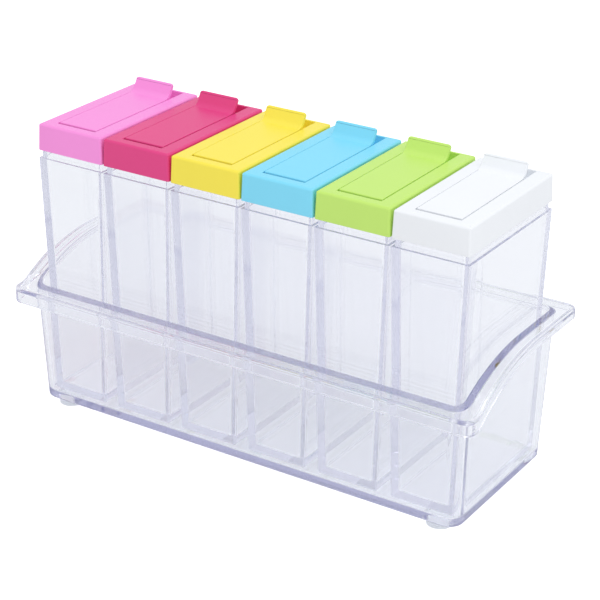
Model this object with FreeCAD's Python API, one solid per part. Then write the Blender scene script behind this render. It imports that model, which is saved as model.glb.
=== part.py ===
"""A row of six clear spice boxes with coloured flip-flap caps, standing in one clear tray.

Millimetres. +X runs along the row, +Y to the high rear of the tray, +Z up.
The origin is on the table, under the middle of the tray.
"""
import FreeCAD, Part
import math
import os

V = FreeCAD.Vector

# Row of boxes
box_count = 6
box_pitch = 33.5          # centre to centre of neighbouring boxes
cap_gap = 0.6             # air between neighbouring caps

# Cap
cap_depth = 67.6          # front to rear at the lower edge of the skirt
cap_height = 11.4         # skirt's lower edge to the flat top
cap_draft = 0.4           # each side, narrower at the top
cap_corner = 1.0
cap_edge_round = 1.2
skirt_wall = 1.4
cap_top_wall = 1.8

# Clear box
box_height = 108.5        # underside to the shoulder that the cap stands over
box_draft_x = 2.85        # each end wall leans in by this much at the bottom
box_draft_y = 1.65
box_wall = 2.8
box_floor = 3.0
box_corner = 0.8          # upright edges
box_foot_round = 1.2
neck_height = 5.2
neck_fit = 0.15           # neck to skirt, each side
bevel_height = 3.0        # from the walls' upper edge, which is flush with the cap, to the shoulder
bevel_inset = 1.1         # shoulder's edge stands back from the cap's skirt, each side

# Flip flap and the recess that it lies in
flap_width = 18.8
flap_front_inset = 6.2    # cap's front face to the flap's front edge
flap_rear_inset = 15.2    # cap's rear face to the start of the upturned tab
flap_length = cap_depth - flap_front_inset - flap_rear_inset
flap_thickness = 1.6
flap_proud = 0.15         # panel's top stands above the cap's top
nose_reach = 2.8          # hinge line to the flap's upright front edge
nose_round = 0.5
nose_gap = 0.7            # nose's swing to the recess's front wall
trough_gap = 0.2          # and to the recess's floor
hinge_drop = 2.0          # hinge line below the cap's top
knuckle_radius = 2.0
pin_radius = 0.9
pin_length = 0.85         # past the flap's side
pin_clearance = 0.05      # radial
pin_end_gap = 0.2
tab_bend_radius = 4.0
tab_angle = 60.0          # degrees above level
tab_straight = 3.7
tab_corner = 1.2
flap_side_gap = 0.3
flap_rest_gap = 0.3
knuckle_gap = 0.6         # rear of the knuckle to the recess
pan_wall = 1.5
pan_side_wall = 2.1       # holds the pin sockets
scoop_depth = 2.5         # finger scoop under the tab, below the shelf
scoop_rear_inset = 2.3    # rear edge of the scoop to the cap's rear face
scoop_lean = 0.6          # its rear wall leans back by this much
pour_width = 14.0
pour_front = 12.8         # hinge axis to the pour opening
pour_rear = 5.6           # pour opening to the start of the tab
pour_length = flap_length - nose_reach - pour_front - pour_rear
pour_corner = 2.6         # cut across the opening's corners
plug_gap = 0.35
plug_wall = 1.2
plug_depth = 1.4          # plug rim's reach below the panel's rear edge

# Tray
foot_height = 2.7
foot_radius = 5.8
foot_inset_x = 10.5       # foot's centre from the outer end wall at the base
foot_inset_y = 6.6
tray_floor = 3.0
tray_wall = 2.4
tray_draft = 2.0          # degrees
tray_corner = 6.2         # outside
tray_base_round = 1.4
tray_cavity_round = 1.2
tray_end_room = 1.75      # last box to the end wall at the floor
tray_side_room = 2.55     # boxes to the front and rear walls at the floor
rim_front = 55.1          # rim's height over the table along the front
rim_rear = 68.4           # and along the rear
sweep_rear = 8.0          # depth, from the middle, where the rising rim levels off
sweep_front_flat = 4.7    # level stretch of the flange before the rim starts to rise
sweep_toe_radius = 10.0
flange_reach_x = 6.2      # past the outer wall at the front rim: the carrying ears
flange_reach_y = 6.0
flange_corner = 4.6
flange_thickness = 2.4
flange_edge_round = 2.0
lip_wall = 2.2
lip_front = 6.8           # turned-down lip's height along the front
lip_rear = 4.6            # and along the rear

# Seats
box_seat_gap = 0.2        # box underside over the tray's floor
cap_seat_gap = 0.3        # skirt's lower edge over the box's shoulder
overshoot = 1.0           # cutters run past the faces that they cut

# Heights over the table
floor_top = foot_height + tray_floor
box_bottom = floor_top + box_seat_gap
shoulder = box_bottom + box_height
cap_bottom = shoulder + cap_seat_gap
cap_top = cap_bottom + cap_height

# Half sizes of a cap at its skirt, and of a box at its base
cap_half_x = (box_pitch - cap_gap) / 2
cap_half_y = cap_depth / 2
box_base_half_x = cap_half_x - box_draft_x
box_base_half_y = cap_half_y - box_draft_y

# Flap's hinge line and the places that follow from it
flap_half_x = flap_width / 2
recess_half_x = flap_half_x + flap_side_gap
flap_front_y = -cap_half_y + flap_front_inset
hinge_y = flap_front_y + nose_reach
hinge_z = cap_top - hinge_drop
panel_top = cap_top + flap_proud
nose_swing = math.hypot(nose_reach - nose_round, panel_top - hinge_z - nose_round) + nose_round
panel_low = panel_top - flap_thickness
shelf_z = panel_low - flap_rest_gap
panel_rear_y = flap_front_y + flap_length

# Tray's outside at the base, and its growth with height
tray_base_half_x = (box_count - 1) / 2 * box_pitch + box_base_half_x + tray_end_room + tray_wall
tray_base_half_y = box_base_half_y + tray_side_room + tray_wall
tray_slope = math.tan(math.radians(tray_draft))
rim_growth = (rim_front - foot_height) * tray_slope
flange_half_x = tray_base_half_x + rim_growth + flange_reach_x
flange_half_y = tray_base_half_y + rim_growth + flange_reach_y


def rounded_rectangle(half_x, half_y, corner, z):
    """Closed wire of four lines and four quarter arcs, level at z."""
    edges = []
    inner_x = half_x - corner
    inner_y = half_y - corner
    quarter = math.sqrt(0.5) * corner
    for sx, sy in ((1, -1), (1, 1), (-1, 1), (-1, -1)):
        along_x = V(sx * inner_x, sy * half_y, z)
        along_y = V(sx * half_x, sy * inner_y, z)
        middle = V(sx * (inner_x + quarter), sy * (inner_y + quarter), z)
        first, last = (along_x, along_y) if sx * sy < 0 else (along_y, along_x)
        if edges:
            edges.append(Part.makeLine(edges[-1].lastVertex().Point, first))
        edges.append(Part.Arc(first, middle, last).toShape())
    edges.append(Part.makeLine(edges[-1].lastVertex().Point, edges[0].firstVertex().Point))
    return Part.Wire(edges)


def upright_block(half_x, half_y, corner, z_low, z_high):
    """Rounded block with upright walls."""
    return Part.Face(rounded_rectangle(half_x, half_y, corner, z_low)).extrude(V(0, 0, z_high - z_low))


def plain_block(half_x, half_y, z_low, z_high):
    """Sharp-edged block with upright walls."""
    return Part.makeBox(2 * half_x, 2 * half_y, z_high - z_low, V(-half_x, -half_y, z_low))


def leaning_block(low, high):
    """Sharp-edged block with flat leaning walls between two rectangles, each half_x, half_y, z."""
    low_x, low_y, low_z = low
    high_x, high_y, high_z = high
    signs = ((-1, -1), (1, -1), (1, 1), (-1, 1))
    floor = [V(sx * low_x, sy * low_y, low_z) for sx, sy in signs]
    roof = [V(sx * high_x, sy * high_y, high_z) for sx, sy in signs]
    outlines = [floor[::-1], roof]
    for here in range(4):
        following = (here + 1) % 4
        outlines.append([floor[here], floor[following], roof[following], roof[here]])
    faces = [Part.Face(Part.makePolygon(points + points[:1])) for points in outlines]
    return Part.makeSolid(Part.makeShell(faces))


def rounded_block(low, high, corner, edge_round, edge_z):
    """Leaning block with rounded upright edges, and rounded level edges at height edge_z."""
    block = leaning_block(low, high)
    upright = [edge for edge in block.Edges
               if not near(edge.firstVertex().Point.z, edge.lastVertex().Point.z)]
    return block.makeFillet(corner, upright).common(round_level_edges(block, edge_round, edge_z))


def across(face, half_x):
    """A face drawn at X = 0, pulled out to both sides."""
    return face.translated(V(-half_x, 0, 0)).extrude(V(2 * half_x, 0, 0))


def side_face(points):
    """Face from a closed outline of (y, z) corners, drawn at X = 0."""
    corners = [V(0, y, z) for y, z in points]
    return Part.Face(Part.makePolygon(corners + corners[:1]))


def edges_where(shape, test):
    """Edges of a shape whose ends and middle all pass a test of position."""
    found = []
    for edge in shape.Edges:
        first, last = edge.ParameterRange
        places = [edge.valueAt(first + share * (last - first)) for share in (0.0, 0.5, 1.0)]
        if all(test(place) for place in places):
            found.append(edge)
    return found


def near(a, b, tolerance=0.01):
    return abs(a - b) < tolerance


def round_level_edges(shape, radius, z):
    """Round the edges of a shape that lie level at height z."""
    return shape.makeFillet(radius, edges_where(shape, lambda place: near(place.z, z)))


def sweep_curve(front_z, rear_z):
    """Rim seen from the end: level front, toe arc, crown arc and level rear, as joined edges.

    The two arcs are tangent to each other and to both levels.
    """
    start_y = -flange_half_y + sweep_front_flat
    run = sweep_rear - start_y
    rise = rear_z - front_z
    crown_radius = (run ** 2 + rise ** 2) / (2 * rise) - sweep_toe_radius
    turn = 2 * math.atan2(rise, run)
    reach = flange_half_y + overshoot

    def on_toe(angle):
        return V(0, start_y + sweep_toe_radius * math.sin(angle),
                 front_z + sweep_toe_radius * (1 - math.cos(angle)))

    def on_crown(angle):
        return V(0, sweep_rear - crown_radius * math.sin(angle),
                 rear_z - crown_radius * (1 - math.cos(angle)))

    return [
        Part.makeLine(V(0, -reach, front_z), on_toe(0)),
        Part.Arc(on_toe(0), on_toe(turn / 2), on_toe(turn)).toShape(),
        Part.Arc(on_crown(turn), on_crown(turn / 2), on_crown(0)).toShape(),
        Part.makeLine(on_crown(0), V(0, reach, rear_z)),
    ]


def below_sweep(front_z, rear_z):
    """Everything under a sweep curve, down to under the table."""
    curve = sweep_curve(front_z, rear_z)
    front = curve[0].firstVertex().Point
    rear = curve[-1].lastVertex().Point
    low_rear = V(0, rear.y, -overshoot)
    low_front = V(0, front.y, -overshoot)
    closing = [Part.makeLine(rear, low_rear), Part.makeLine(low_rear, low_front),
               Part.makeLine(low_front, front)]
    return across(Part.Face(Part.Wire(curve + closing)), flange_half_x + overshoot)


def tray_outline(inset, z):
    """Half sizes of the tray's leaning walls at height z, set in from the outside, and z."""
    growth = (z - foot_height) * tray_slope - inset
    return tray_base_half_x + growth, tray_base_half_y + growth, z


def tray_block(inset, z_low, z_high, edge_round):
    """The tray's leaning block between two heights, set in from the outside."""
    return rounded_block(tray_outline(inset, z_low), tray_outline(inset, z_high),
                         tray_corner - inset, edge_round, z_low)


def from_outline(place, half_x, half_y, corner):
    """Distance of a place from a rounded rectangle, seen from above."""
    dx = abs(place.x) - (half_x - corner)
    dy = abs(place.y) - (half_y - corner)
    if dx > 0 and dy > 0:
        return math.hypot(dx, dy) - corner
    return max(dx, dy) - corner


def make_flange():
    """Swept flange all round the rim, with its rounded outer edge and turned-down lip."""
    size = (flange_half_x, flange_half_y, flange_corner)
    inner = [length - lip_wall for length in size]
    slab = upright_block(*size, foot_height, rim_rear + overshoot).common(below_sweep(rim_front, rim_rear))
    crest = edges_where(slab, lambda place: place.z > rim_front - flange_edge_round
                        and near(from_outline(place, *size), 0))
    slab = slab.makeFillet(flange_edge_round, crest)
    hollow = upright_block(*inner, foot_height - overshoot, rim_rear).common(
        below_sweep(rim_front - flange_thickness, rim_rear - flange_thickness))
    return slab.cut(below_sweep(rim_front - lip_front, rim_rear - lip_rear)).cut(hollow)


def make_tray():
    """Open tray with leaning walls, a swept rim with a flange, and four feet."""
    above = rim_rear + overshoot
    walls = tray_block(0, foot_height, above, tray_base_round).common(below_sweep(rim_front, rim_rear))
    cavity = tray_block(tray_wall, floor_top, above + overshoot, tray_cavity_round)
    tray = walls.fuse(make_flange()).cut(cavity)
    feet = []
    for sx in (-1, 1):
        for sy in (-1, 1):
            place = V(sx * (tray_base_half_x - foot_inset_x), sy * (tray_base_half_y - foot_inset_y), 0)
            feet.append(Part.makeCylinder(foot_radius, foot_height, place))
    return tray.fuse(feet).removeSplitter()


def make_box():
    """Tall clear box: leaning walls, a bevel up to the shoulder under the cap, and a neck inside the cap."""
    edge_z = shoulder - bevel_height
    neck_inset = skirt_wall + neck_fit
    neck_top = cap_bottom + neck_height

    def wall_size(inset, z):
        share = (edge_z - z) / (edge_z - box_bottom)
        return cap_half_x - inset - share * box_draft_x, cap_half_y - inset - share * box_draft_y, z

    def bevel_size(z):
        inset = (z - edge_z) / bevel_height * bevel_inset
        return cap_half_x - inset, cap_half_y - inset, z

    walls = rounded_block(wall_size(0, box_bottom), wall_size(0, shoulder),
                          box_corner, box_foot_round, box_bottom)
    bevel = leaning_block(bevel_size(box_bottom), bevel_size(shoulder))
    neck = plain_block(cap_half_x - neck_inset, cap_half_y - neck_inset, shoulder - overshoot, neck_top)
    cavity = leaning_block(wall_size(box_wall, box_bottom + box_floor),
                           wall_size(box_wall, neck_top + overshoot))
    return walls.common(bevel).fuse(neck).cut(cavity).removeSplitter()


def recess_face():
    """Recess seen from the side: hinge trough, shelf and finger scoop."""
    above = cap_top + pan_wall + overshoot
    trough_front = hinge_y - nose_swing - nose_gap
    trough_rear = hinge_y + knuckle_radius + knuckle_gap
    trough_z = hinge_z - nose_swing - trough_gap
    scoop_z = shelf_z - scoop_depth
    scoop_y = panel_rear_y + scoop_depth
    scoop_rear = cap_half_y - scoop_rear_inset
    return side_face([
        (trough_front, above),
        (trough_front, trough_z),
        (trough_rear, trough_z),
        (trough_rear, shelf_z),
        (panel_rear_y, shelf_z),
        (scoop_y, scoop_z),
        (scoop_rear - scoop_lean, scoop_z),
        (scoop_rear, cap_top),
        (scoop_rear, above),
    ])


def pour_block(inset, z_low, z_high):
    """Block in the place of the pour opening, with its corners cut across, set in by inset."""
    half_x = pour_width / 2 - inset
    half_y = pour_length / 2 - inset
    corner = pour_corner - inset * (2 - math.sqrt(2))
    middle = hinge_y + pour_front + pour_length / 2
    points = []
    for sx, sy in ((1, -1), (1, 1), (-1, 1), (-1, -1)):
        on_side = V(sx * half_x, middle + sy * (half_y - corner), z_low)
        on_end = V(sx * (half_x - corner), middle + sy * half_y, z_low)
        points += [on_end, on_side] if sx * sy < 0 else [on_side, on_end]
    return Part.Face(Part.makePolygon(points + points[:1])).extrude(V(0, 0, z_high - z_low))


def hinge_rod(radius, half_length):
    """Cylinder along the hinge line, even about the middle of the flap."""
    return Part.makeCylinder(radius, 2 * half_length, V(-half_length, hinge_y, hinge_z), V(1, 0, 0))


def make_cap():
    """Cap with an outside skirt, and a recess with hinge trough, pour opening and finger scoop."""
    rounded = rounded_block((cap_half_x, cap_half_y, cap_bottom),
                            (cap_half_x - cap_draft, cap_half_y - cap_draft, cap_top),
                            cap_corner, cap_edge_round, cap_top)
    hollow = plain_block(cap_half_x - skirt_wall, cap_half_y - skirt_wall,
                         cap_bottom - overshoot, cap_top - cap_top_wall)
    recess = recess_face()
    pan = across(recess.makeOffset2D(pan_wall, 2), recess_half_x + pan_side_wall).common(rounded)
    cap = rounded.cut(hollow).fuse(pan).cut(across(recess, recess_half_x))
    cap = cap.cut(pour_block(0, cap_bottom, cap_top))
    sockets = hinge_rod(pin_radius + pin_clearance, flap_half_x + pin_length + pin_end_gap)
    return cap.cut(sockets).removeSplitter()


def make_flap():
    """Flap with an upright nose, hinge knuckle and pins at the front, and an upturned finger tab."""
    tilt = math.radians(tab_angle)
    tab_along = V(0, math.cos(tilt), math.sin(tilt))
    bend_centre = V(0, panel_rear_y, panel_top + tab_bend_radius)

    def on_bend(radius, angle):
        return bend_centre + V(0, math.sin(angle), -math.cos(angle)) * radius

    def on_nose(angle):
        return V(0, flap_front_y + nose_round * (1 - math.cos(angle)),
                 panel_top - nose_round * (1 - math.sin(angle)))

    outer_radius = tab_bend_radius + flap_thickness
    inner_end = on_bend(tab_bend_radius, tilt)
    outer_end = on_bend(outer_radius, tilt)
    inner_tip = inner_end + tab_along * tab_straight
    outer_tip = outer_end + tab_along * tab_straight
    crest = (inner_tip + outer_tip) * 0.5 + tab_along * (flap_thickness / 2)
    nose_low = V(0, flap_front_y, hinge_z)
    nose_side, nose_middle, nose_crest = [on_nose(share * math.pi / 2) for share in (0, 0.5, 1)]
    panel_front = V(0, hinge_y, panel_low)
    outline = [
        Part.makeLine(nose_low, nose_side),
        Part.Arc(nose_side, nose_middle, nose_crest).toShape(),
        Part.makeLine(nose_crest, on_bend(tab_bend_radius, 0)),
        Part.Arc(on_bend(tab_bend_radius, 0), on_bend(tab_bend_radius, tilt / 2), inner_end).toShape(),
        Part.makeLine(inner_end, inner_tip),
        Part.Arc(inner_tip, crest, outer_tip).toShape(),
        Part.makeLine(outer_tip, outer_end),
        Part.Arc(outer_end, on_bend(outer_radius, tilt / 2), on_bend(outer_radius, 0)).toShape(),
        Part.makeLine(on_bend(outer_radius, 0), panel_front),
        Part.makeLine(panel_front, nose_low),
    ]
    panel = across(Part.Face(Part.Wire(outline)), flap_half_x)
    corner_cut = tab_corner_cutters(crest, tab_along)
    knuckle = hinge_rod(knuckle_radius, flap_half_x)
    pins = hinge_rod(pin_radius, flap_half_x + pin_length)
    plug_low = panel_low - plug_depth
    plug_high = panel_low + flap_thickness / 2
    plug = pour_block(plug_gap, plug_low, plug_high).cut(
        pour_block(plug_gap + plug_wall, plug_low - overshoot, plug_high + overshoot))
    return panel.cut(corner_cut).fuse([knuckle, pins, plug]).removeSplitter()


def tab_corner_cutters(crest, tab_along):
    """Two cutters that round the tab's top corners, seen square on to the tab."""
    depth = V(0, tab_along.z, -tab_along.y) * (2 * flap_thickness)
    cutters = []
    for side in (-1, 1):
        centre = crest - tab_along * tab_corner + V(side * (flap_half_x - tab_corner), 0, 0)
        top = centre + tab_along * tab_corner
        end = centre + V(side * tab_corner, 0, 0)
        far = centre + (tab_along + V(side, 0, 0)) * (tab_corner + overshoot)
        middle = centre + (tab_along + V(side, 0, 0)) * (tab_corner * math.sqrt(0.5))
        high = top + tab_along * overshoot
        wide = end + V(side * overshoot, 0, 0)
        outline = [Part.Arc(top, middle, end).toShape(), Part.makeLine(end, wide),
                   Part.makeLine(wide, far), Part.makeLine(far, high), Part.makeLine(high, top)]
        cutters.append(Part.Face(Part.Wire(outline)).translated(depth * -0.5).extrude(depth))
    return cutters


def main():
    os.makedirs("parts", exist_ok=True)
    make_tray().exportStep("parts/tray.step")
    pieces = {"box": make_box(), "cap": make_cap(), "flap": make_flap()}
    for index in range(box_count):
        place = V((index - (box_count - 1) / 2) * box_pitch, 0, 0)
        for name, shape in pieces.items():
            shape.translated(place).exportStep("parts/%s_%d.step" % (name, index + 1))


main()
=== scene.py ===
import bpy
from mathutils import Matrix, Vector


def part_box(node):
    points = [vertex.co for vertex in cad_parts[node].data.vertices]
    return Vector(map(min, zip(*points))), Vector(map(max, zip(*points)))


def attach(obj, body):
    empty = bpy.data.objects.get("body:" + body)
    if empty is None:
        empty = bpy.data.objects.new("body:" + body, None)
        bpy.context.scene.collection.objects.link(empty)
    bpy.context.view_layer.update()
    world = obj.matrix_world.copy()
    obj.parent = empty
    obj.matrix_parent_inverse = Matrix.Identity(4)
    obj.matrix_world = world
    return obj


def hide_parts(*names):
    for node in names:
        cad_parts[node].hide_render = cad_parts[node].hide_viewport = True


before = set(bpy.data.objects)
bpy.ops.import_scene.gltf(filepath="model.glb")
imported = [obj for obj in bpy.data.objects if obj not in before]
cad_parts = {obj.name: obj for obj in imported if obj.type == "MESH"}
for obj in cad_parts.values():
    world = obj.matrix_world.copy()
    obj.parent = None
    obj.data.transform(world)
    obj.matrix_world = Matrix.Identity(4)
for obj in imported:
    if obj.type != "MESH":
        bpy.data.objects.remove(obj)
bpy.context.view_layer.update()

import math

import bmesh
import bpy
from mathutils import Matrix, Vector

bl_info = {
    "name": "Spice box",
    "version": (1, 0, 0),
    "blender": (4, 5, 0),
    "location": "3D View > Sidebar > Spice box",
    "description": "Dresses the spice box: a clear tray, six clear boxes and their coloured pouring caps",
    "category": "Object",
}

MM = 0.001
NUMBERS = range(1, 7)
CAP_SLOTS = ("cap_pink", "cap_magenta", "cap_yellow", "cap_blue", "cap_green", "cap_white")

# Finishes
CLEAR_PASS = (0.985, 0.985, 0.99, 1)  # light left after a face of the clear plastic that it crosses unturned
DULL_FROM, DULL_TO = 0.4, 0.75  # values of the haze pattern between which the gloss fades
THICK_FLOW = 0.96  # tone of the caps where the melt flowed thickest
GLOSS_SPREAD = 0.06  # how far the caps' roughness goes to either side of its mean
CAP_IOR = 1.49  # refractive index of polypropylene

# Meshes
TRAY_EDGE_STEPS, BOX_EDGE_STEPS = 6, 5  # steps round an edge of the profile
TRAY_CORNER_STEPS, BOX_CORNER_STEPS = 8, 5  # steps round a corner of the plan
TRAY_SIDE_STEPS = 44  # steps along a side of the tray, which the sweep bends
RING_MERGE, COPY_MERGE = 0.001 * MM, 0.002 * MM  # points nearer than this are one point
FOOT_SIDES = 48
FOOT_SINK = 1 * MM  # how far a foot reaches up into the base
FOOT_TAPER = 0.5 * MM  # how much narrower a foot is at the table
TRAY_CREASE = math.radians(40)  # edges of the tray past this stay sharp
FLAT_FACETS = math.radians(0.5)  # facets of a CAD mesh that differ by less are one face
CAP_CREASE = math.radians(35)  # edges of the caps past this are rounded
CAP_EDGE_STEPS = 2

# Stage
FLOOR_REACH = 4.0  # metres from the middle to each side
BOARD_ROUGHNESS = 0.9
KEY_SIZE = 0.9  # metres
KEY_AIM = Vector((0, 0, 0.1))  # the place that the lamp faces
BOUNCES = 40  # enough for light to cross every wall of the six boxes and the tray
FRAME_WIDTH = 36  # millimetres, for the lens
NEAREST = 0.01  # metres from the camera to where its view starts


def hex_colour(text):
    """An sRGB hex value as linear red, green and blue."""
    parts = [int(text[i:i + 2], 16) / 255 for i in (1, 3, 5)]
    return tuple(v / 12.92 if v <= 0.04045 else ((v + 0.055) / 1.055) ** 2.4 for v in parts)


def put(tree, kind, inputs=None, **settings):
    """Adds a node, sets its own settings, then each input from a socket or a plain value."""
    node = tree.nodes.new(kind)
    for name, value in settings.items():
        setattr(node, name, value)
    for name, value in (inputs or {}).items():
        if isinstance(value, bpy.types.NodeSocket):
            tree.links.new(value, node.inputs[name])
        else:
            node.inputs[name].default_value = value
    return node


def new_material(name):
    """An empty node material."""
    material = bpy.data.materials.new(name)
    material.use_nodes = True
    material.node_tree.nodes.clear()
    return material, material.node_tree


def clear_polystyrene(name, settings, edge_density):
    # General-purpose polystyrene, injection moulded in a polished mould: it looks like water-clear glass
    # with a mirror gloss. Light that is turned back inside a wall runs on along it and turns lavender on the
    # way, till small faults let it out again, so no edge of a wall goes black.
    material, tree = new_material(name)
    place = put(tree, "ShaderNodeTexCoord").outputs["Object"]
    flow = put(tree, "ShaderNodeTexNoise", {
        "Vector": place, "Scale": 1 / settings.flow_width, "Detail": 1.0}).outputs["Fac"]
    haze = put(tree, "ShaderNodeTexNoise", {
        "Vector": place, "Scale": 1 / settings.haze_width, "Detail": 3.0}).outputs["Fac"]
    gloss = put(tree, "ShaderNodeMapRange", {
        "Value": haze, "From Min": DULL_FROM, "From Max": DULL_TO, "To Min": 0.0, "To Max": settings.haze})
    wave = put(tree, "ShaderNodeBump", {
        "Height": flow, "Strength": 1.0, "Distance": settings.flow_height})
    plastic = put(tree, "ShaderNodeBsdfPrincipled", {
        "Base Color": (*settings.face_colour, 1), "Roughness": gloss.outputs["Result"], "IOR": settings.ior,
        "Transmission Weight": settings.clarity, "Normal": wave.outputs["Normal"]})
    rays = put(tree, "ShaderNodeLightPath").outputs
    spent = put(tree, "ShaderNodeMath", {
        0: rays["Ray Depth"], 1: settings.turns + 0.5}, operation="GREATER_THAN").outputs[0]
    free = put(tree, "ShaderNodeMath", {0: rays["Is Shadow Ray"], 1: spent}, operation="MAXIMUM").outputs[0]
    through = put(tree, "ShaderNodeBsdfTransparent", {"Color": CLEAR_PASS})
    surface = put(tree, "ShaderNodeMixShader", {0: free, 1: plastic.outputs[0], 2: through.outputs[0]})
    density = put(tree, "ShaderNodeMapRange", {
        "Value": rays["Is Glossy Ray"], "To Min": settings.tint_density, "To Max": edge_density}).outputs["Result"]
    body = put(tree, "ShaderNodeVolumeAbsorption", {"Color": (*settings.tint, 1), "Density": density})
    put(tree, "ShaderNodeOutputMaterial", {"Surface": surface.outputs[0], "Volume": body.outputs[0]})
    return material


def cap_polypropylene(name, colour, settings):
    # Polypropylene coloured in the mass and moulded in a spark-eroded mould: a waxy satin face whose fine
    # grain spreads each highlight, a little deeper in tone where the melt flowed thicker. Its thin walls let
    # some light through to the boxes below.
    material, tree = new_material(name)
    place = put(tree, "ShaderNodeTexCoord").outputs["Object"]
    flow = put(tree, "ShaderNodeTexNoise", {
        "Vector": place, "Scale": 1 / settings.flow_width, "Detail": 2.0}).outputs["Fac"]
    depth = put(tree, "ShaderNodeMapRange", {"Value": flow, "To Min": THICK_FLOW, "To Max": 1.0})
    tone = put(tree, "ShaderNodeHueSaturation", {"Color": (*colour, 1), "Value": depth.outputs["Result"]})
    grain = put(tree, "ShaderNodeTexNoise", {
        "Vector": place, "Scale": 1 / settings.grain_width, "Detail": 2.0}).outputs["Fac"]
    gloss = put(tree, "ShaderNodeMapRange", {
        "Value": grain, "To Min": settings.gloss - GLOSS_SPREAD, "To Max": settings.gloss + GLOSS_SPREAD})
    skin = put(tree, "ShaderNodeBump", {
        "Height": grain, "Strength": 1.0, "Distance": settings.grain_height})
    plastic = put(tree, "ShaderNodeBsdfPrincipled", {
        "Base Color": tone.outputs["Color"], "Roughness": gloss.outputs["Result"],
        "IOR": CAP_IOR, "Normal": skin.outputs["Normal"]})
    rays = put(tree, "ShaderNodeLightPath")
    through = put(tree, "ShaderNodeBsdfTransparent", {
        "Color": (*[settings.translucence * math.sqrt(value) for value in colour], 1)})
    surface = put(tree, "ShaderNodeMixShader", {
        0: rays.outputs["Is Shadow Ray"], 1: plastic.outputs[0], 2: through.outputs[0]})
    put(tree, "ShaderNodeOutputMaterial", {"Surface": surface.outputs[0]})
    return material


def rounded_profile(corners, steps):
    """Rings of a shell's profile: each corner is half length, half depth, height, plan corner, edge round,
    rise to the rear and lean with that rise. The edge rounds become arcs."""
    rings = []
    for index, (half_x, half_y, height, corner, edge, rise, lean) in enumerate(corners):
        here = Vector((half_x, height))
        places = [here]
        if edge:
            back = (Vector((corners[index - 1][0], corners[index - 1][2])) - here).normalized()
            onward = (Vector((corners[index + 1][0], corners[index + 1][2])) - here).normalized()
            half_angle = back.angle(onward) / 2
            centre = here + (back + onward).normalized() * (edge / math.sin(half_angle))
            first = here + back * (edge / math.tan(half_angle)) - centre
            last = here + onward * (edge / math.tan(half_angle)) - centre
            sweep = math.pi - 2 * half_angle
            places = [centre + (first * math.sin((1 - k / steps) * sweep) + last * math.sin(k / steps * sweep))
                      / math.sin(sweep) for k in range(steps + 1)]
        for place in places:
            shift = place.x - half_x
            rings.append(((place.x, half_y + shift, place.y), (max(corner + shift, 0), rise, lean)))
    return rings


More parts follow.
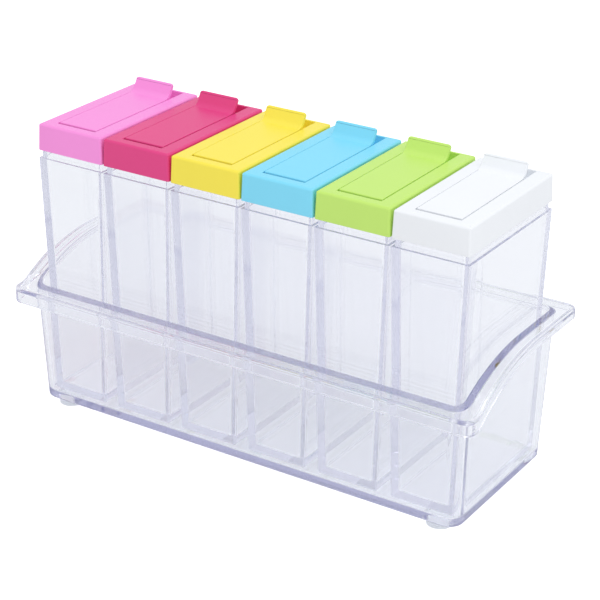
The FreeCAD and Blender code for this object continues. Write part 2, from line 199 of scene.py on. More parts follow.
def shell_tree():
    """Nodes that loft rounded rectangles through a profile, and let the rim sweep up towards the rear."""
    tree = bpy.data.node_groups.new("Moulded shell", "GeometryNodeTree")
    for name, kind, value in (
            ("Profile", "NodeSocketGeometry", None), ("Corner steps", "NodeSocketInt", 5),
            ("Side steps", "NodeSocketInt", 0), ("Sweep start", "NodeSocketFloat", -1),
            ("Sweep turn", "NodeSocketFloat", 0), ("Sweep end", "NodeSocketFloat", 1),
            ("Toe radius", "NodeSocketFloat", 2), ("Crown radius", "NodeSocketFloat", 2),
            ("Toe rise", "NodeSocketFloat", 1), ("Crown rise", "NodeSocketFloat", 1),
            ("Material", "NodeSocketMaterial", None)):
        socket = tree.interface.new_socket(name, in_out="INPUT", socket_type=kind)
        if value is not None:
            socket.default_value = value
    tree.interface.new_socket("Shell", in_out="OUTPUT", socket_type="NodeSocketGeometry")
    given = put(tree, "NodeGroupInput").outputs

    # A grid with one row for each ring of the profile and one column for each step round the plan
    rings = put(tree, "GeometryNodeAttributeDomainSize", {"Geometry": given["Profile"]}).outputs["Point Count"]
    steps = put(tree, "ShaderNodeMath", {0: given["Corner steps"], 1: given["Side steps"]}, operation="ADD")
    per_side = put(tree, "ShaderNodeMath", {0: steps.outputs[0], 1: 1.0}, operation="ADD").outputs[0]
    columns = put(tree, "ShaderNodeMath", {0: per_side, 1: 4.0, 2: 1.0}, operation="MULTIPLY_ADD").outputs[0]
    grid = put(tree, "GeometryNodeMeshGrid", {"Vertices X": columns, "Vertices Y": rings}).outputs["Mesh"]
    index = put(tree, "GeometryNodeInputIndex").outputs[0]
    row = put(tree, "ShaderNodeMath", {0: index, 1: rings}, operation="MODULO").outputs[0]
    column = put(tree, "ShaderNodeMath", {0: index, 1: rings}, operation="DIVIDE").outputs[0]
    column = put(tree, "ShaderNodeMath", {0: column}, operation="FLOOR").outputs[0]

    # Each quarter of the plan is an arc, then a straight run to the next arc
    quarter = put(tree, "ShaderNodeMath", {0: column, 1: per_side}, operation="DIVIDE").outputs[0]
    quarter = put(tree, "ShaderNodeMath", {0: quarter}, operation="FLOOR").outputs[0]
    step = put(tree, "ShaderNodeMath", {0: column, 1: per_side}, operation="MODULO").outputs[0]
    bend = put(tree, "ShaderNodeMapRange", {
        "Value": step, "From Max": given["Corner steps"], "To Max": math.pi / 2}).outputs[0]
    run = put(tree, "ShaderNodeMapRange", {
        "Value": step, "From Min": given["Corner steps"], "From Max": per_side, "To Min": 1.0, "To Max": -1.0})
    turn = put(tree, "ShaderNodeMath", {0: quarter, 1: math.pi / 2}, operation="MULTIPLY").outputs[0]
    core = put(tree, "ShaderNodeCombineXYZ", {"X": run.outputs[0], "Y": 1.0}).outputs[0]
    core = put(tree, "ShaderNodeVectorRotate", {"Vector": core, "Angle": turn}, rotation_type="Z_AXIS").outputs[0]
    cosine = put(tree, "ShaderNodeMath", {0: bend}, operation="COSINE").outputs[0]
    sine = put(tree, "ShaderNodeMath", {0: bend}, operation="SINE").outputs[0]
    outward = put(tree, "ShaderNodeCombineXYZ", {"X": cosine, "Y": sine}).outputs[0]
    outward = put(tree, "ShaderNodeVectorRotate", {
        "Vector": outward, "Angle": turn}, rotation_type="Z_AXIS").outputs[0]

    # The ring's half sizes and corner give the plan
    place = put(tree, "GeometryNodeInputPosition").outputs[0]
    size = put(tree, "GeometryNodeSampleIndex", {
        "Geometry": given["Profile"], "Value": place, "Index": row}, data_type="FLOAT_VECTOR").outputs["Value"]
    shape = put(tree, "GeometryNodeInputNamedAttribute", {"Name": "shape"}, data_type="FLOAT_VECTOR").outputs[0]
    shape = put(tree, "GeometryNodeSampleIndex", {
        "Geometry": given["Profile"], "Value": shape, "Index": row}, data_type="FLOAT_VECTOR").outputs["Value"]
    shape = put(tree, "ShaderNodeSeparateXYZ", {0: shape}).outputs
    corner = put(tree, "ShaderNodeCombineXYZ", {"X": shape["X"], "Y": shape["X"]}).outputs[0]
    inner = put(tree, "ShaderNodeVectorMath", {0: size, 1: corner}, operation="SUBTRACT").outputs[0]
    plan = put(tree, "ShaderNodeVectorMath", {0: core, 1: inner}, operation="MULTIPLY").outputs[0]
    plan = put(tree, "ShaderNodeVectorMath", {0: outward, 1: corner, 2: plan}, operation="MULTIPLY_ADD").outputs[0]

    # The sweep: a toe arc, then a crown arc, as a share from 0 at the front to 1 at the rear
    depth = put(tree, "ShaderNodeSeparateXYZ", {0: plan}).outputs["Y"]
    arcs = []
    for radius, low, high, sign in (("Toe radius", "Sweep start", "Sweep turn", -1.0),
                                    ("Crown radius", "Sweep turn", "Sweep end", 1.0)):
        reach = put(tree, "ShaderNodeMath", {0: given[high], 1: given[low]}, operation="SUBTRACT").outputs[0]
        ends = {"To Max": reach} if sign < 0 else {"To Min": reach, "To Max": 0.0}
        away = put(tree, "ShaderNodeMapRange", {
            "Value": depth, "From Min": given[low], "From Max": given[high], **ends}).outputs[0]
        away = put(tree, "ShaderNodeMath", {0: away, 1: given[radius]}, operation="DIVIDE").outputs[0]
        away = put(tree, "ShaderNodeMath", {0: away}, operation="ARCSINE").outputs[0]
        drop = put(tree, "ShaderNodeMath", {0: away}, operation="COSINE").outputs[0]
        drop = put(tree, "ShaderNodeMath", {0: drop, 1: 1.0}, operation="SUBTRACT").outputs[0]
        drop = put(tree, "ShaderNodeMath", {0: drop, 1: given[radius]}, operation="MULTIPLY").outputs[0]
        arcs.append(put(tree, "ShaderNodeMath", {0: drop, 1: sign}, operation="MULTIPLY").outputs[0])
    lift = put(tree, "ShaderNodeMath", {0: arcs[0], 1: arcs[1]}, operation="ADD").outputs[0]
    lowest = put(tree, "ShaderNodeMath", {0: given["Crown rise"], 1: -1.0}, operation="MULTIPLY").outputs[0]
    share = put(tree, "ShaderNodeMapRange", {
        "Value": lift, "From Min": lowest, "From Max": given["Toe rise"]}).outputs[0]
    grown = put(tree, "ShaderNodeMath", {0: share, 1: shape["Z"]}, operation="MULTIPLY").outputs[0]
    grown = put(tree, "ShaderNodeVectorMath", {0: core, "Scale": grown}, operation="SCALE").outputs[0]
    plan = put(tree, "ShaderNodeVectorMath", {0: plan, 1: grown}, operation="ADD").outputs[0]
    height = put(tree, "ShaderNodeSeparateXYZ", {0: size}).outputs["Z"]
    height = put(tree, "ShaderNodeMath", {0: share, 1: shape["Y"], 2: height}, operation="MULTIPLY_ADD").outputs[0]
    plan = put(tree, "ShaderNodeSeparateXYZ", {0: plan}).outputs
    point = put(tree, "ShaderNodeCombineXYZ", {"X": plan["X"], "Y": plan["Y"], "Z": height}).outputs[0]
    shell = put(tree, "GeometryNodeSetPosition", {"Geometry": grid, "Position": point}).outputs[0]
    shell = put(tree, "GeometryNodeMergeByDistance", {"Geometry": shell, "Distance": RING_MERGE}).outputs[0]
    shell = put(tree, "GeometryNodeFlipFaces", {"Mesh": shell}).outputs[0]
    shell = put(tree, "GeometryNodeSetShadeSmooth", {"Geometry": shell, "Shade Smooth": True}).outputs[0]
    shell = put(tree, "GeometryNodeRealizeInstances", {"Geometry": shell}).outputs[0]
    shell = put(tree, "GeometryNodeSetMaterial", {"Geometry": shell, "Material": given["Material"]}).outputs[0]
    put(tree, "NodeGroupOutput", {"Shell": shell})
    return tree


def feet_tree():
    """Nodes that set a foot under each corner of the tray and make all one body."""
    tree = bpy.data.node_groups.new("Tray feet", "GeometryNodeTree")
    for name, kind in (("Tray", "NodeSocketGeometry"), ("Foot radius", "NodeSocketFloat"),
                       ("Foot height", "NodeSocketFloat"), ("Foot place", "NodeSocketVector"),
                       ("Material", "NodeSocketMaterial")):
        tree.interface.new_socket(name, in_out="INPUT", socket_type=kind)
    tree.interface.new_socket("Tray", in_out="OUTPUT", socket_type="NodeSocketGeometry")
    given = put(tree, "NodeGroupInput").outputs
    spread = put(tree, "ShaderNodeVectorMath", {0: given["Foot place"], "Scale": 2.0}, operation="SCALE").outputs[0]
    spread = put(tree, "ShaderNodeSeparateXYZ", {0: spread}).outputs
    corners = put(tree, "GeometryNodeMeshGrid", {
        "Size X": spread["X"], "Size Y": spread["Y"], "Vertices X": 2, "Vertices Y": 2}).outputs["Mesh"]
    depth = put(tree, "ShaderNodeMath", {0: given["Foot height"], 1: FOOT_SINK}, operation="ADD").outputs[0]
    toe = put(tree, "ShaderNodeMath", {0: given["Foot radius"], 1: FOOT_TAPER}, operation="SUBTRACT").outputs[0]
    foot = put(tree, "GeometryNodeMeshCone", {
        "Vertices": FOOT_SIDES, "Radius Top": given["Foot radius"], "Radius Bottom": toe,
        "Depth": depth}).outputs["Mesh"]
    feet = put(tree, "GeometryNodeInstanceOnPoints", {"Points": corners, "Instance": foot}).outputs[0]
    feet = put(tree, "GeometryNodeRealizeInstances", {"Geometry": feet}).outputs[0]
    union = put(tree, "GeometryNodeMeshBoolean", {"Mesh 2": given["Tray"]}, operation="UNION", solver="MANIFOLD")
    tree.links.new(feet, union.inputs["Mesh 2"])
    angle = put(tree, "GeometryNodeInputMeshEdgeAngle").outputs["Unsigned Angle"]
    sharp = put(tree, "FunctionNodeCompare", {"A": angle, "B": TRAY_CREASE}, operation="GREATER_THAN").outputs[0]
    tray = put(tree, "GeometryNodeSetShadeSmooth", {
        "Geometry": union.outputs["Mesh"], "Selection": sharp, "Shade Smooth": False}, domain="EDGE").outputs[0]
    tray = put(tree, "GeometryNodeRealizeInstances", {"Geometry": tray}).outputs[0]
    tray = put(tree, "GeometryNodeSetMaterial", {"Geometry": tray, "Material": given["Material"]}).outputs[0]
    put(tree, "NodeGroupOutput", {"Tray": tray})
    return tree


def grow(piece, tree, **sizes):
    """Runs a node tree on a piece with its inputs set, and leaves the result as the piece's plain mesh."""
    modifier = piece.modifiers.new(tree.name, "NODES")
    modifier.node_group = tree
    for item in tree.interface.items_tree:
        key = item.name.lower().replace(" ", "_")
        if item.in_out == "INPUT" and key in sizes:
            modifier[item.identifier] = sizes[key]
    mesh = bpy.data.meshes.new_from_object(piece.evaluated_get(bpy.context.evaluated_depsgraph_get()))
    mesh.materials.clear()
    mesh.materials.append(sizes["material"])
    mesh.name = piece.name
    piece.modifiers.clear()
    piece.data = mesh


def profile_piece(name, rings):
    """A piece that holds only a shell's profile, ready for the shell's nodes."""
    mesh = bpy.data.meshes.new(name)
    mesh.from_pydata([place for place, _ in rings], [], [])
    shape = mesh.attributes.new("shape", "FLOAT_VECTOR", "POINT")
    for item, (_, values) in zip(shape.data, rings):
        item.vector = values
    piece = bpy.data.objects.new(name, mesh)
    bpy.context.scene.collection.objects.link(piece)
    return piece


def even_normals(piece):
    """Lets the large flat faces decide the shading next to small rounds."""
    normals = piece.modifiers.new("Even normals", "WEIGHTED_NORMAL")
    normals.keep_sharp = True


def moulded_copy(node, name, edge_round):
    """A copy of a CAD node's mesh, merged, with its flat facets joined and its sharp edges rounded."""
    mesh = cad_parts[node].data.copy()
    mesh.name = name
    mesh.materials.clear()
    work = bmesh.new()
    work.from_mesh(mesh)
    bmesh.ops.remove_doubles(work, verts=work.verts, dist=COPY_MERGE)
    bmesh.ops.dissolve_limit(work, angle_limit=FLAT_FACETS, verts=work.verts, edges=work.edges)
    for face in work.faces:
        face.smooth = True
    work.to_mesh(mesh)
    work.free()
    for layer in list(mesh.attributes):
        if layer.name == "custom_normal":
            mesh.attributes.remove(layer)
    piece = bpy.data.objects.new(name, mesh)
    bpy.context.scene.collection.objects.link(piece)
    bevel = piece.modifiers.new("Moulded edges", "BEVEL")
    bevel.width = edge_round
    bevel.segments = CAP_EDGE_STEPS
    bevel.limit_method = "ANGLE"
    bevel.angle_limit = CAP_CREASE
    bevel.use_clamp_overlap = False
    bevel.harden_normals = True
    return piece


def ray_kinds(tree):
    """The kinds of ray, and 1 for a ray that the plastic has turned or let through."""
    rays = put(tree, "ShaderNodeLightPath").outputs
    through = put(tree, "ShaderNodeMath", {
        0: rays["Is Glossy Ray"], 1: rays["Is Transmission Ray"]}, operation="MAXIMUM").outputs[0]
    return rays, through


def join_frame(piece, node):
    """Lets the piece ride on the node's body and stand for the node."""
    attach(piece, node)
    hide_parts(node)


class ClearPlasticSettings(bpy.types.PropertyGroup):
    """The clear plastic of the tray and the boxes."""
    tint: bpy.props.FloatVectorProperty(
        name="Tint", description="Colour left in light that goes a long way through the plastic",
        subtype="COLOR", size=3, min=0, max=1, default=hex_colour("#A2A0D1"))
    tint_density: bpy.props.FloatProperty(
        name="Tint density", description="How fast the tint grows with depth, for each metre", default=2.5, min=0)
    tray_edge_density: bpy.props.FloatProperty(
        name="Tray edge density", description="The same for light that runs along inside the tray's walls",
        default=15.0, min=0)
    box_edge_density: bpy.props.FloatProperty(
        name="Box edge density", description="The same for light that runs along inside the boxes' walls",
        default=6.0, min=0)
    ior: bpy.props.FloatProperty(
        name="IOR", description="Refractive index of polystyrene", default=1.59, min=1)
    flow_width: bpy.props.FloatProperty(
        name="Flow width", description="Spacing of the slow waves that the melt leaves in a wall",
        unit="LENGTH", default=14 * MM)
    flow_height: bpy.props.FloatProperty(
        name="Flow height", description="Height of those waves", unit="LENGTH", default=0.02 * MM)
    haze_width: bpy.props.FloatProperty(
        name="Haze width", description="Spacing of the patches where handling has dulled the gloss",
        unit="LENGTH", default=9 * MM)
    haze: bpy.props.FloatProperty(
        name="Haze", description="Roughness of the dullest patches", subtype="FACTOR", default=0.06, min=0, max=1)
    clarity: bpy.props.FloatProperty(
        name="Clarity", description="Share of light that a face lets through and doesn't scatter", subtype="FACTOR",
        default=0.995, min=0, max=1)
    turns: bpy.props.IntProperty(
        name="Turns", description="How often light is turned inside the walls before it leaves them", default=8,
        min=1)
    face_colour: bpy.props.FloatVectorProperty(
        name="Face colour", description="Pale colour of what a face scatters", subtype="COLOR", size=3, min=0, max=1,
        default=hex_colour("#FFFFFF"))


class TraySettings(bpy.types.PropertyGroup):
    """Sizes of the tray that its CAD box doesn't give."""
    foot_height: bpy.props.FloatProperty(
        name="Foot height", description="Table to the tray's base", unit="LENGTH", default=2.7 * MM)
    foot_radius: bpy.props.FloatProperty(
        name="Foot radius", description="Radius of a foot", unit="LENGTH", default=5.8 * MM)
    foot_inset_x: bpy.props.FloatProperty(
        name="Foot inset, ends", description="Foot's centre from the end wall", unit="LENGTH", default=10.5 * MM)
    foot_inset_y: bpy.props.FloatProperty(
        name="Foot inset, sides", description="Foot's centre from the front wall", unit="LENGTH", default=6.6 * MM)
    floor: bpy.props.FloatProperty(name="Floor", description="Floor's thickness", unit="LENGTH", default=3 * MM)
    wall: bpy.props.FloatProperty(name="Wall", description="Wall's thickness", unit="LENGTH", default=2.4 * MM)
    draft: bpy.props.FloatProperty(
        name="Draft", description="Lean of the walls", subtype="ANGLE", default=math.radians(2))
    corner: bpy.props.FloatProperty(
        name="Corner", description="Outside corner of the walls in plan", unit="LENGTH", default=6.2 * MM)
    base_round: bpy.props.FloatProperty(
        name="Base round", description="Round under the walls", unit="LENGTH", default=1.4 * MM)
    cavity_round: bpy.props.FloatProperty(
        name="Cavity round", description="Round from the floor to the walls", unit="LENGTH", default=1.2 * MM)
    rim_front: bpy.props.FloatProperty(
        name="Front rim", description="Rim's height along the front", unit="LENGTH", default=55.1 * MM)
    rim_round: bpy.props.FloatProperty(
        name="Rim round", description="Round of the rim's inner edge", unit="LENGTH", default=0.6 * MM)
    sweep_level: bpy.props.FloatProperty(
        name="Level front", description="Level stretch before the rim rises", unit="LENGTH", default=4.7 * MM)
    sweep_end: bpy.props.FloatProperty(
        name="Sweep end", description="Depth at which the rim is level again", unit="LENGTH", default=8 * MM)
    toe_radius: bpy.props.FloatProperty(
        name="Toe radius", description="Radius at the foot of the sweep", unit="LENGTH", default=10 * MM)
    flange_reach_x: bpy.props.FloatProperty(
        name="Flange, ends", description="Flange's reach past the end walls", unit="LENGTH", default=6.2 * MM)
    flange_reach_y: bpy.props.FloatProperty(
        name="Flange, sides", description="Flange's reach past the front", unit="LENGTH", default=6 * MM)
    flange: bpy.props.FloatProperty(name="Flange", description="Its thickness", unit="LENGTH", default=2.4 * MM)
    flange_corner: bpy.props.FloatProperty(
        name="Flange corner", description="Flange's corner in plan", unit="LENGTH", default=4.6 * MM)
    flange_round: bpy.props.FloatProperty(
        name="Flange round", description="Round of the flange's outer edge", unit="LENGTH", default=1 * MM)
    under_round: bpy.props.FloatProperty(
        name="Under round", description="Rounds on the flange's underside", unit="LENGTH", default=0.7 * MM)
    lip: bpy.props.FloatProperty(name="Lip", description="Lip's thickness", unit="LENGTH", default=2.2 * MM)
    lip_front: bpy.props.FloatProperty(
        name="Front lip", description="Lip's height along the front", unit="LENGTH", default=6.8 * MM)
    lip_rear: bpy.props.FloatProperty(
        name="Rear lip", description="Lip's height along the rear", unit="LENGTH", default=4.6 * MM)
    lip_round: bpy.props.FloatProperty(
        name="Lip round", description="Rounds of the lip's lower edge", unit="LENGTH", default=0.6 * MM)


class BoxSettings(bpy.types.PropertyGroup):
    """Sizes of a box that its CAD box doesn't give."""
    wall: bpy.props.FloatProperty(name="Wall", description="Wall's thickness", unit="LENGTH", default=2.8 * MM)
    floor: bpy.props.FloatProperty(name="Floor", description="Floor's thickness", unit="LENGTH", default=3 * MM)
    draft_x: bpy.props.FloatProperty(
        name="Draft, ends", description="How far an end wall leans in at the foot", unit="LENGTH", default=2.85 * MM)
    draft_y: bpy.props.FloatProperty(
        name="Draft, sides", description="How far the front leans in at the foot", unit="LENGTH", default=1.65 * MM)
    corner: bpy.props.FloatProperty(
        name="Corner", description="Upright edges", unit="LENGTH", default=0.8 * MM)
    neck: bpy.props.FloatProperty(
        name="Neck", description="Neck's height over the shoulder", unit="LENGTH", default=5.5 * MM)
    neck_inset: bpy.props.FloatProperty(
        name="Neck inset", description="Neck's face behind the cap's", unit="LENGTH", default=1.55 * MM)
    bevel: bpy.props.FloatProperty(
        name="Bevel", description="Height from the ledge to the shoulder", unit="LENGTH", default=3 * MM)
    bevel_inset: bpy.props.FloatProperty(
        name="Bevel inset", description="Shoulder's edge behind the walls' edge", unit="LENGTH", default=1.1 * MM)
    ledge: bpy.props.FloatProperty(
        name="Ledge", description="Level ledge along the walls' upper edge", unit="LENGTH", default=1.0 * MM)
    cavity_round: bpy.props.FloatProperty(
        name="Cavity round", description="Round from the floor to the walls", unit="LENGTH", default=0.8 * MM)
    foot_round: bpy.props.FloatProperty(
        name="Foot round", description="Round under the walls", unit="LENGTH", default=1.2 * MM)
    edge_round: bpy.props.FloatProperty(
        name="Edge round", description="Rounds of the neck", unit="LENGTH", default=0.3 * MM)
    step_round: bpy.props.FloatProperty(
        name="Step round", description="Rounds of the shoulder and the ledge", unit="LENGTH", default=0.12 * MM)


class CapSettings(bpy.types.PropertyGroup):
    """The coloured caps and their flaps."""
    pink: bpy.props.FloatVectorProperty(
        name="First cap", description="Colour of the first cap", subtype="COLOR", size=3, min=0, max=1,
        default=hex_colour("#F994DF"))
    magenta: bpy.props.FloatVectorProperty(
        name="Second cap", description="Colour of the second cap", subtype="COLOR", size=3, min=0, max=1,
        default=hex_colour("#E23C84"))
    yellow: bpy.props.FloatVectorProperty(
        name="Third cap", description="Colour of the third cap", subtype="COLOR", size=3, min=0, max=1,
        default=hex_colour("#F9E74C"))
    blue: bpy.props.FloatVectorProperty(
        name="Fourth cap", description="Colour of the fourth cap", subtype="COLOR", size=3, min=0, max=1,
        default=hex_colour("#80DBF8"))
    green: bpy.props.FloatVectorProperty(
        name="Fifth cap", description="Colour of the fifth cap", subtype="COLOR", size=3, min=0, max=1,
        default=hex_colour("#C3E970"))
    white: bpy.props.FloatVectorProperty(
        name="Sixth cap", description="Colour of the sixth cap", subtype="COLOR", size=3, min=0, max=1,
        default=hex_colour("#F0F3F8"))
    flow_width: bpy.props.FloatProperty(
        name="Flow width", description="Spacing of the slow changes of tone", unit="LENGTH", default=20 * MM)
    grain_width: bpy.props.FloatProperty(
        name="Grain width", description="Spacing of the mould's satin grain, drawn coarser than the real 0.1 mm",
        unit="LENGTH", default=0.5 * MM)
    grain_height: bpy.props.FloatProperty(
        name="Grain height", description="Height of that grain", unit="LENGTH", default=0.012 * MM)
    gloss: bpy.props.FloatProperty(
        name="Roughness", description="Mean roughness of the satin face", subtype="FACTOR", default=0.42)
    edge_round: bpy.props.FloatProperty(
        name="Edge round", description="Rounding of the sharp moulded edges", unit="LENGTH", default=0.25 * MM)
    translucence: bpy.props.FloatProperty(
        name="Translucence", description="Share of light that each face of a cap's wall lets through",
        subtype="FACTOR", default=0.7, min=0, max=1)


class StageSettings(bpy.types.PropertyGroup):
    """Floor, light and camera."""
    floor_colour: bpy.props.FloatVectorProperty(
        name="Floor", description="Colour of the floor", subtype="COLOR", size=3, min=0, max=1,
        default=hex_colour("#F4F4F4"))
    floor_glow: bpy.props.FloatProperty(
        name="Floor glow", description="What the floor adds to reach white where it is seen", default=0.5)
    board_colour: bpy.props.FloatVectorProperty(
        name="Board", description="Floor and walls of the studio where the plastic shows them", subtype="COLOR",
        size=3, min=0, max=1, default=hex_colour("#F6F9FE"))
    board_glow: bpy.props.FloatProperty(
        name="Board glow", description="Share of that tone which shadow leaves alone", subtype="FACTOR",
        default=0.3, min=0, max=1)
    sky: bpy.props.FloatProperty(
        name="Soft light", description="Strength of the even light from all round", default=0.78)
    key: bpy.props.FloatProperty(
        name="Key light", description="Power of the large lamp above", unit="POWER", default=6.0)
    key_place: bpy.props.FloatVectorProperty(
        name="Key place", description="Where the lamp hangs", subtype="TRANSLATION", size=3,
        default=(0.5, -0.3, 1.2))
    camera_place: bpy.props.FloatVectorProperty(
        name="Camera place", description="Where the camera stands", subtype="TRANSLATION", size=3,
        default=(0.3840, -0.5885, 0.3822))
    azimuth: bpy.props.FloatProperty(
        name="Azimuth", description="Turn of the camera round the box", subtype="ANGLE",
        default=math.radians(32.69))
    elevation: bpy.props.FloatProperty(
        name="Elevation", description="How far the camera looks down", subtype="ANGLE",
        default=math.radians(24.65))
    roll: bpy.props.FloatProperty(
        name="Roll", description="Tilt of the camera about its own line of sight", subtype="ANGLE",
        default=math.radians(0.52))
    lens: bpy.props.FloatProperty(
        name="Lens", description="Focal length on a 36 mm frame, in millimetres", default=113.2)


class SPICE_OT_tray(bpy.types.Operator):
    """Builds the clear tray: leaning walls, a swept rim with flange and turned-down lip, and four feet"""
    bl_idname = "spice.tray"
    bl_label = "Tray"

    def execute(self, context):
        size = context.scene.spice_tray
        material = clear_polystyrene("Tray polystyrene, polished mould", context.scene.spice_clear,
                                     context.scene.spice_clear.tray_edge_density)
        slope = math.tan(size.draft)
        _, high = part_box("tray")
        flange_x, flange_y = high.x, high.y
        rim_growth = (size.rim_front - size.foot_height) * slope
        base_x = flange_x - size.flange_reach_x - rim_growth
        base_y = flange_y - size.flange_reach_y - rim_growth
        rise = high.z - size.rim_front
        lip_rise = rise + size.lip_front - size.lip_rear
        floor_z = size.foot_height + size.floor
        under = size.rim_front - size.flange

        def wall(inset, z):
            grown = (z - size.foot_height) * slope - inset
            return base_x + grown, base_y + grown, z, size.corner - inset

        inner = size.flange_corner - size.lip
        rings = rounded_profile((
            (0, 0, floor_z, 0, 0, 0, 0),
            (*wall(size.wall, floor_z), size.cavity_round, 0, 0),
            (*wall(size.wall, size.rim_front), size.rim_round, rise, rise * slope),
            (flange_x, flange_y, size.rim_front, size.flange_corner, size.flange_round, rise, 0),
            (flange_x, flange_y, size.rim_front - size.lip_front, size.flange_corner, size.lip_round, lip_rise, 0),
            (flange_x - size.lip, flange_y - size.lip, size.rim_front - size.lip_front, inner, size.lip_round,
             lip_rise, 0),
            (flange_x - size.lip, flange_y - size.lip, under, inner, size.under_round, rise, 0),
            (*wall(0, under), size.under_round, rise, rise * slope),
            (*wall(0, size.foot_height), size.base_round, 0, 0),
            (0, 0, size.foot_height, 0, 0, 0, 0),
        ), TRAY_EDGE_STEPS)
        start = -flange_y + size.sweep_level
        run = size.sweep_end - start
        turn = 2 * math.atan2(rise, run)
        crown = (run ** 2 + rise ** 2) / (2 * rise) - size.toe_radius
        toe_rise = size.toe_radius * (1 - math.cos(turn))
        piece = profile_piece("tray_shell", rings)
        grow(piece, shell_tree(), corner_steps=TRAY_CORNER_STEPS, side_steps=TRAY_SIDE_STEPS, sweep_start=start,
             sweep_turn=start + size.toe_radius * math.sin(turn), sweep_end=size.sweep_end,
             toe_radius=size.toe_radius, crown_radius=crown, toe_rise=toe_rise, crown_rise=rise - toe_rise,
             material=material)
        grow(piece, feet_tree(), foot_radius=size.foot_radius, foot_height=size.foot_height,
             foot_place=(base_x - size.foot_inset_x, base_y - size.foot_inset_y, 0), material=material)
        even_normals(piece)
        join_frame(piece, "tray")
        return {"FINISHED"}


class SPICE_OT_boxes(bpy.types.Operator):
    """Builds the six clear boxes: leaning walls, a ledge, a steep shoulder and a neck inside the cap"""
    bl_idname = "spice.boxes"
    bl_label = "Boxes"

    def execute(self, context):
        size = context.scene.spice_boxes
        material = clear_polystyrene("Box polystyrene, polished mould", context.scene.spice_clear,
                                     context.scene.spice_clear.box_edge_density)
        tree = shell_tree()
        for number in NUMBERS:
            low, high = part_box(f"box_{number}")
            top_x, top_y = (high.x - low.x) / 2, (high.y - low.y) / 2
            shoulder = high.z - size.neck
            edge = shoulder - size.bevel

            def wall(inset, z):
                share = (edge - z) / (edge - low.z)
                return top_x - inset - share * size.draft_x, top_y - inset - share * size.draft_y, z, size.corner

            def ring(inset, z):
                return top_x - inset, top_y - inset, z, size.corner

            rings = rounded_profile((
                (0, 0, low.z + size.floor, 0, 0, 0, 0),
                (*wall(size.wall, low.z + size.floor), size.cavity_round, 0, 0),
                (*wall(size.wall, high.z), size.edge_round, 0, 0),
                (*ring(size.neck_inset, high.z), size.edge_round, 0, 0),
                (*ring(size.neck_inset, shoulder), size.step_round, 0, 0),
                (*ring(size.bevel_inset, shoulder), size.step_round, 0, 0),
                (*ring(size.ledge, edge), size.step_round, 0, 0),
                (*ring(0, edge), size.step_round, 0, 0),
                (*wall(0, low.z), size.foot_round, 0, 0),
                (0, 0, low.z, 0, 0, 0, 0),
            ), BOX_EDGE_STEPS)
            piece = profile_piece(f"box_shell_{number}", rings)
            grow(piece, tree, corner_steps=BOX_CORNER_STEPS, side_steps=0, material=material)
            piece.data.transform(Matrix.Translation(((low.x + high.x) / 2, 0, 0)))
            even_normals(piece)
            join_frame(piece, f"box_{number}")
        return {"FINISHED"}


class SPICE_OT_caps(bpy.types.Operator):
    """Builds the six coloured caps and their pouring flaps"""
    bl_idname = "spice.caps"
    bl_label = "Caps and flaps"

    def execute(self, context):
        settings = context.scene.spice_caps
        colours = (settings.pink, settings.magenta, settings.yellow, settings.blue, settings.green, settings.white)
        for number, colour, slot in zip(NUMBERS, colours, CAP_SLOTS):
            material = cap_polypropylene(f"{slot} polypropylene, satin moulded", colour, settings)
            for part in ("cap", "flap"):
                node = f"{part}_{number}"
                piece = moulded_copy(node, f"{part}_moulding_{number}", settings.edge_round)
                piece.data.materials.append(material)
                join_frame(piece, node)
        return {"FINISHED"}


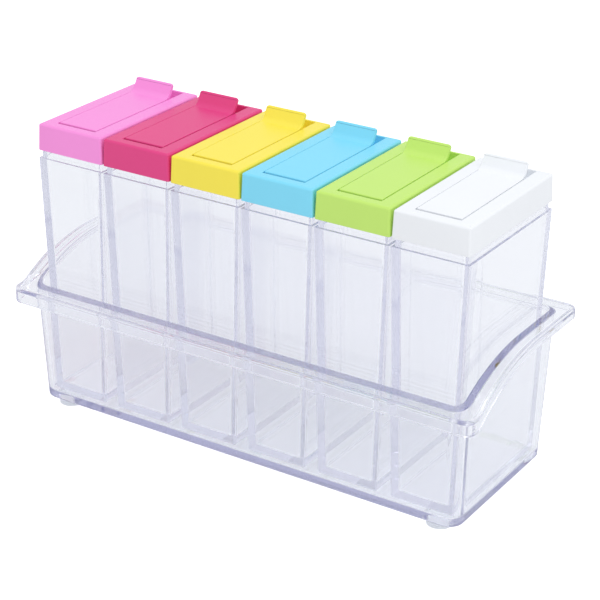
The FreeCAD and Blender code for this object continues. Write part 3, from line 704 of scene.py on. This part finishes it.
class SPICE_OT_stage(bpy.types.Operator):
    """Sets the floor, the light and the camera"""
    bl_idname = "spice.stage"
    bl_label = "Stage"

    def execute(self, context):
        settings = context.scene.spice_stage
        scene = context.scene
        scene.view_settings.view_transform = "Standard"

        material, tree = new_material("Floor, white studio board")
        rays, through = ray_kinds(tree)
        glow = put(tree, "ShaderNodeMath", {
            0: rays["Is Camera Ray"], 1: settings.floor_glow}, operation="MULTIPLY")
        page = put(tree, "ShaderNodeBsdfPrincipled", {
            "Base Color": (*settings.floor_colour, 1), "Roughness": BOARD_ROUGHNESS, "Specular IOR Level": 0.0,
            "Emission Color": (1, 1, 1, 1), "Emission Strength": glow.outputs[0]})
        # The plastic shows the board as it is, a pale lavender grey, and not the bare page of the picture
        board = put(tree, "ShaderNodeBsdfDiffuse", {"Color": (*settings.board_colour, 1)})
        even = put(tree, "ShaderNodeEmission", {"Color": (*settings.board_colour, 1), "Strength": 1.0})
        board = put(tree, "ShaderNodeMixShader", {0: settings.board_glow, 1: board.outputs[0], 2: even.outputs[0]})
        seen = put(tree, "ShaderNodeMixShader", {0: through, 1: page.outputs[0], 2: board.outputs[0]})
        put(tree, "ShaderNodeOutputMaterial", {"Surface": seen.outputs[0]})
        mesh = bpy.data.meshes.new("floor")
        mesh.from_pydata([(x * FLOOR_REACH, y * FLOOR_REACH, 0) for x, y in ((-1, -1), (1, -1), (1, 1), (-1, 1))],
                         [], [(0, 1, 2, 3)])
        mesh.materials.append(material)
        floor = bpy.data.objects.new("floor", mesh)
        scene.collection.objects.link(floor)

        world = bpy.data.worlds.new("Studio")
        world.use_nodes = True
        tree = world.node_tree
        tree.nodes.clear()
        rays, through = ray_kinds(tree)
        light = put(tree, "ShaderNodeBackground", {"Color": (1, 1, 1, 1), "Strength": settings.sky})
        wall = put(tree, "ShaderNodeBackground", {"Color": (*settings.board_colour, 1), "Strength": 1.0})
        page = put(tree, "ShaderNodeBackground", {"Color": (1, 1, 1, 1), "Strength": 1.0})
        sky = put(tree, "ShaderNodeMixShader", {0: through, 1: light.outputs[0], 2: wall.outputs[0]})
        sky = put(tree, "ShaderNodeMixShader", {0: rays["Is Camera Ray"], 1: sky.outputs[0], 2: page.outputs[0]})
        put(tree, "ShaderNodeOutputWorld", {"Surface": sky.outputs[0]})
        scene.world = world

        lamp = bpy.data.lights.new("Key", "AREA")
        lamp.energy = settings.key
        lamp.size = KEY_SIZE
        key = bpy.data.objects.new("Key", lamp)
        scene.collection.objects.link(key)
        key.location = settings.key_place
        key.rotation_euler = (KEY_AIM - key.location).to_track_quat("-Z", "Y").to_euler()

        scene.cycles.max_bounces = BOUNCES
        scene.cycles.transmission_bounces = BOUNCES
        scene.cycles.glossy_bounces = BOUNCES
        scene.cycles.transparent_max_bounces = BOUNCES

        az, el, roll = settings.azimuth, settings.elevation, settings.roll
        right = Vector((math.cos(az), math.sin(az), 0))
        back = Vector((math.sin(az) * math.cos(el), -math.cos(az) * math.cos(el), math.sin(el)))
        up = back.cross(right)
        across = right * math.cos(roll) + up * math.sin(roll)
        up = up * math.cos(roll) - right * math.sin(roll)
        lens = bpy.data.cameras.new("Camera")
        lens.sensor_width = FRAME_WIDTH
        lens.lens = settings.lens
        lens.clip_start = NEAREST
        camera = bpy.data.objects.new("Camera", lens)
        scene.collection.objects.link(camera)
        camera.matrix_world = Matrix.Translation(settings.camera_place) @ Matrix(
            (across, up, back)).transposed().to_4x4()
        scene.camera = camera
        return {"FINISHED"}


class SPICE_PT_build(bpy.types.Panel):
    """Lists the build steps"""
    bl_label = "Spice box"
    bl_idname = "SPICE_PT_build"
    bl_space_type = "VIEW_3D"
    bl_region_type = "UI"
    bl_category = "Spice box"

    def draw(self, context):
        for step in STEPS:
            self.layout.operator(step.bl_idname)
        for group in GROUPS:
            settings = getattr(context.scene, group)
            for name in settings.__annotations__:
                self.layout.prop(settings, name)


GROUPS = {"spice_clear": ClearPlasticSettings, "spice_tray": TraySettings, "spice_boxes": BoxSettings,
          "spice_caps": CapSettings, "spice_stage": StageSettings}
STEPS = (SPICE_OT_tray, SPICE_OT_boxes, SPICE_OT_caps, SPICE_OT_stage)
CLASSES = (*GROUPS.values(), *STEPS, SPICE_PT_build)


def register():
    for cls in CLASSES:
        bpy.utils.register_class(cls)
    for group, cls in GROUPS.items():
        setattr(bpy.types.Scene, group, bpy.props.PointerProperty(type=cls))


def unregister():
    for group in GROUPS:
        delattr(bpy.types.Scene, group)
    for cls in reversed(CLASSES):
        bpy.utils.unregister_class(cls)


def main():
    register()
    bpy.ops.spice.tray()
    bpy.ops.spice.boxes()
    bpy.ops.spice.caps()
    bpy.ops.spice.stage()


if __name__ == "__main__":
    main()
